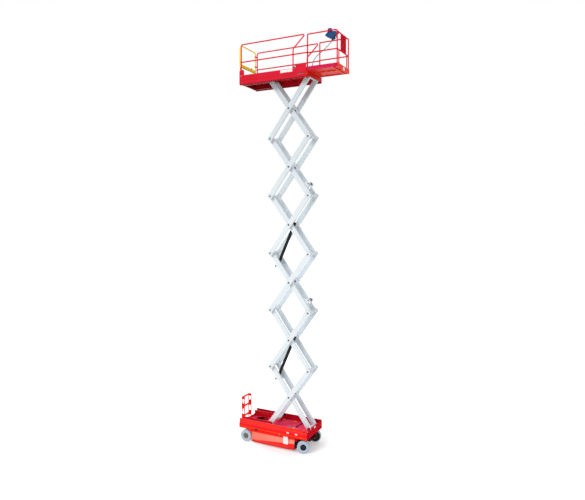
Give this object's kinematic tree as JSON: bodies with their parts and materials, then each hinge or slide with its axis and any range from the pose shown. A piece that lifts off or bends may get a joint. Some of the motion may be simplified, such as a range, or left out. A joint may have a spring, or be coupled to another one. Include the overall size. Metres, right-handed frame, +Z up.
{
  "type": "slab scissor lift",
  "caption": "Self-propelled scissor lift, raised: tray chassis on four wheels, stacked crossed arms, lift cylinders, railed platform with sliding extension.",
  "frame": {"origin": "floor level under the centre of the bounding box", "axes": "+X to the steered front and the extension, +Y to the left side, +Z up"},
  "size_m": [3.658, 1.2716, 13.35],
  "materials": {
    "red_paint": "gloss red enamel",
    "white_paint": "satin pale grey-white enamel",
    "yellow_paint": "gloss yellow enamel",
    "black_paint": "satin black",
    "chrome": "hard chrome",
    "black_nylon": "nylon",
    "grey_tyre": "non-marking grey rubber",
    "hub_paint": "dark painted casting",
    "battery_case": "black painted battery box",
    "tank_paint": "dark painted tank",
    "blue_case": "moulded dark blue",
    "grey_cable": "grey jacket"
  },
  "bodies": {
    "chassis": {"chassis_frame": "red_paint", "chassis_tray": "red_paint", "left_side_panel": "red_paint", "right_side_panel": "red_paint", "front_plate": "red_paint", "rear_plate": "red_paint", "pivot_lugs": "red_paint", "lower_channels": "red_paint", "rear_axle": "red_paint", "front_axle": "red_paint", "entry_ladder": "red_paint", "counterweight": "red_paint"},
    "inner_1": {"scissor_inner_1": "white_paint"},
    "outer_1": {"scissor_outer_1": "white_paint", "lower_rollers": "black_nylon"},
    "inner_2": {"scissor_inner_2": "white_paint"},
    "outer_2": {"scissor_outer_2": "white_paint"},
    "inner_3": {"scissor_inner_3": "white_paint"},
    "outer_3": {"scissor_outer_3": "white_paint"},
    "inner_4": {"scissor_inner_4": "white_paint"},
    "outer_4": {"scissor_outer_4": "white_paint"},
    "inner_5": {"scissor_inner_5": "white_paint"},
    "outer_5": {"scissor_outer_5": "white_paint"},
    "inner_6": {"scissor_inner_6": "white_paint", "upper_rollers": "black_nylon"},
    "outer_6": {"scissor_outer_6": "white_paint"},
    "lower_cylinder_barrel": {"lower_cylinder_barrel": "black_paint"},
    "lower_cylinder_rod": {"lower_cylinder_rod": "chrome"},
    "upper_cylinder_barrel": {"upper_cylinder_barrel": "black_paint"},
    "upper_cylinder_rod": {"upper_cylinder_rod": "chrome"},
    "left_steer": {"left_knuckle": "black_paint"},
    "right_steer": {"right_knuckle": "black_paint"},
    "tie_rod": {"tie_rod": "black_paint"},
    "front_left": {"front_left_wheel": "grey_tyre", "front_left_hub": "hub_paint"},
    "rear_left": {"rear_left_wheel": "grey_tyre", "rear_left_hub": "hub_paint"},
    "left_tray": {"left_tray_door": "red_paint", "battery_pack": "battery_case"},
    "left_guard": {"left_pothole_guard": "red_paint"},
    "front_right": {"front_right_wheel": "grey_tyre", "front_right_hub": "hub_paint"},
    "rear_right": {"rear_right_wheel": "grey_tyre", "rear_right_hub": "hub_paint"},
    "right_tray": {"right_tray_door": "red_paint", "hydraulic_unit": "tank_paint"},
    "right_guard": {"right_pothole_guard": "red_paint"},
    "platform": {"platform_frame": "red_paint", "platform_deck": "red_paint", "toe_boards": "red_paint", "left_guard_rail": "red_paint", "right_guard_rail": "red_paint"},
    "gate": {"rear_gate": "yellow_paint"},
    "extension": {"extension_deck": "red_paint", "extension_rails": "red_paint", "front_panel": "red_paint", "control_box": "blue_case", "control_cable": "grey_cable"}
  },
  "joints": [
    {"name": "lift", "type": "hinge", "parent": "chassis", "child": "inner_1", "pos_m": [0.742, 0, 0.697], "axis": [0, -1, 0], "range_deg": [0, 49.65]},
    {"name": "centre_pivot_1", "type": "hinge", "parent": "inner_1", "child": "outer_1", "pos_m": [0.05017, 0, 1.64054], "axis": [0, -1, 0], "range_deg": [-99.4, 0]},
    {"name": "rear_pivot_1", "type": "hinge", "parent": "inner_1", "child": "outer_2", "pos_m": [-0.64167, 0, 2.58408], "axis": [0, -1, 0], "range_deg": [-99.4, 0]},
    {"name": "centre_pivot_2", "type": "hinge", "parent": "outer_2", "child": "inner_2", "pos_m": [0.05017, 0, 3.52762], "axis": [0, -1, 0], "range_deg": [0, 99.4]},
    {"name": "front_pivot_2", "type": "hinge", "parent": "outer_2", "child": "inner_3", "pos_m": [0.742, 0, 4.47116], "axis": [0, -1, 0], "range_deg": [0, 99.4]},
    {"name": "centre_pivot_3", "type": "hinge", "parent": "inner_3", "child": "outer_3", "pos_m": [0.05017, 0, 5.4147], "axis": [0, -1, 0], "range_deg": [-99.4, 0]},
    {"name": "rear_pivot_3", "type": "hinge", "parent": "inner_3", "child": "outer_4", "pos_m": [-0.64167, 0, 6.35824], "axis": [0, -1, 0], "range_deg": [-99.4, 0]},
    {"name": "centre_pivot_4", "type": "hinge", "parent": "outer_4", "child": "inner_4", "pos_m": [0.05017, 0, 7.30178], "axis": [0, -1, 0], "range_deg": [0, 99.4]},
    {"name": "front_pivot_4", "type": "hinge", "parent": "outer_4", "child": "inner_5", "pos_m": [0.742, 0, 8.24532], "axis": [0, -1, 0], "range_deg": [0, 99.4]},
    {"name": "centre_pivot_5", "type": "hinge", "parent": "inner_5", "child": "outer_5", "pos_m": [0.05017, 0, 9.18886], "axis": [0, -1, 0], "range_deg": [-99.4, 0]},
    {"name": "rear_pivot_5", "type": "hinge", "parent": "inner_5", "child": "outer_6", "pos_m": [-0.64167, 0, 10.1324], "axis": [0, -1, 0], "range_deg": [-99.4, 0]},
    {"name": "centre_pivot_6", "type": "hinge", "parent": "outer_6", "child": "inner_6", "pos_m": [0.05017, 0, 11.07594], "axis": [0, -1, 0], "range_deg": [0, 99.4]},
    {"name": "platform_pivot", "type": "hinge", "parent": "outer_6", "child": "platform", "pos_m": [0.742, 0, 12.01948], "axis": [0, -1, 0], "range_deg": [0, 49.75]},
    {"name": "lower_cylinder_swing", "type": "hinge", "parent": "inner_1", "child": "lower_cylinder_barrel", "pos_m": [-0.52235, 0, 2.15076], "axis": [0, -1, 0], "range_deg": [-96.55, 0]},
    {"name": "lower_cylinder_stroke", "type": "slide", "parent": "lower_cylinder_barrel", "child": "lower_cylinder_rod", "axis": [0.4054, 0, 0.9141], "range_m": [-1.2786, 0]},
    {"name": "upper_cylinder_swing", "type": "hinge", "parent": "inner_3", "child": "upper_cylinder_barrel", "pos_m": [-0.52235, 0, 5.92492], "axis": [0, -1, 0], "range_deg": [-96.55, 0]},
    {"name": "upper_cylinder_stroke", "type": "slide", "parent": "upper_cylinder_barrel", "child": "upper_cylinder_rod", "axis": [0.4054, 0, 0.9141], "range_m": [-1.2786, 0]},
    {"name": "steering", "type": "hinge", "parent": "chassis", "child": "left_steer", "pos_m": [0.655, 0.43, 0.415], "axis": [0, 0, 1], "range_deg": [-65, 25]},
    {"name": "right_steering", "type": "hinge", "parent": "chassis", "child": "right_steer", "pos_m": [0.655, -0.43, 0.415], "axis": [0, 0, 1], "range_deg": [-65.1, 25.1]},
    {"name": "tie_rod_pivot", "type": "hinge", "parent": "left_steer", "child": "tie_rod", "pos_m": [0.53284, 0.38554, 0.235], "axis": [0, 0, 1], "range_deg": [-25.1, 65.1]},
    {"name": "front_left_spin", "type": "hinge", "parent": "left_steer", "child": "front_left", "pos_m": [0.6249, 0.51269, 0.203], "axis": [-0.342, 0.9397, 0], "continuous": true},
    {"name": "rear_left_spin", "type": "hinge", "parent": "chassis", "child": "rear_left", "pos_m": [-1.442, 0.518, 0.203], "axis": [0, 1, 0], "continuous": true},
    {"name": "left_tray_swing", "type": "hinge", "parent": "chassis", "child": "left_tray", "pos_m": [0.183, 0.572, 0.395], "axis": [0, 0, -1], "range_deg": [0, 90]},
    {"name": "left_guard_fold", "type": "hinge", "parent": "chassis", "child": "left_guard", "pos_m": [-0.48, 0.555, 0.098], "axis": [-1, 0, 0], "range_deg": [0, 90]},
    {"name": "front_right_spin", "type": "hinge", "parent": "right_steer", "child": "front_right", "pos_m": [0.6851, -0.51269, 0.203], "axis": [-0.342, 0.9397, 0], "continuous": true},
    {"name": "rear_right_spin", "type": "hinge", "parent": "chassis", "child": "rear_right", "pos_m": [-1.442, -0.518, 0.203], "axis": [0, 1, 0], "continuous": true},
    {"name": "right_tray_swing", "type": "hinge", "parent": "chassis", "child": "right_tray", "pos_m": [0.183, -0.572, 0.395], "axis": [0, 0, 1], "range_deg": [0, 90]},
    {"name": "right_guard_fold", "type": "hinge", "parent": "chassis", "child": "right_guard", "pos_m": [-0.48, -0.555, 0.098], "axis": [1, 0, 0], "range_deg": [0, 90]},
    {"name": "gate_swing", "type": "hinge", "parent": "platform", "child": "gate", "pos_m": [-1.668, 0.473, 12.9], "axis": [0, 0, 1], "range_deg": [0, 90]},
    {"name": "extension_slide", "type": "slide", "parent": "platform", "child": "extension", "axis": [1, 0, 0], "range_m": [-0.91, 0]}
  ],
  "couplings": [
    {"joint": "centre_pivot_1", "follows": "lift", "ratio": -2},
    {"joint": "rear_pivot_1", "follows": "lift", "ratio": -2},
    {"joint": "centre_pivot_2", "follows": "lift", "ratio": 2},
    {"joint": "front_pivot_2", "follows": "lift", "ratio": 2},
    {"joint": "centre_pivot_3", "follows": "lift", "ratio": -2},
    {"joint": "rear_pivot_3", "follows": "lift", "ratio": -2},
    {"joint": "centre_pivot_4", "follows": "lift", "ratio": 2},
    {"joint": "front_pivot_4", "follows": "lift", "ratio": 2},
    {"joint": "centre_pivot_5", "follows": "lift", "ratio": -2},
    {"joint": "rear_pivot_5", "follows": "lift", "ratio": -2},
    {"joint": "centre_pivot_6", "follows": "lift", "ratio": 2},
    {"joint": "platform_pivot", "follows": "lift", "ratio": 1},
    {"joint": "lower_cylinder_swing", "follows": "lift", "ratio": -1.9406},
    {"joint": "lower_cylinder_stroke", "follows": "lift", "m_per_rad": -1.4731},
    {"joint": "upper_cylinder_swing", "follows": "lift", "ratio": -1.9406},
    {"joint": "upper_cylinder_stroke", "follows": "lift", "m_per_rad": -1.4731},
    {"joint": "right_steering", "follows": "steering", "ratio": 1},
    {"joint": "tie_rod_pivot", "follows": "steering", "ratio": -1}
  ]
}
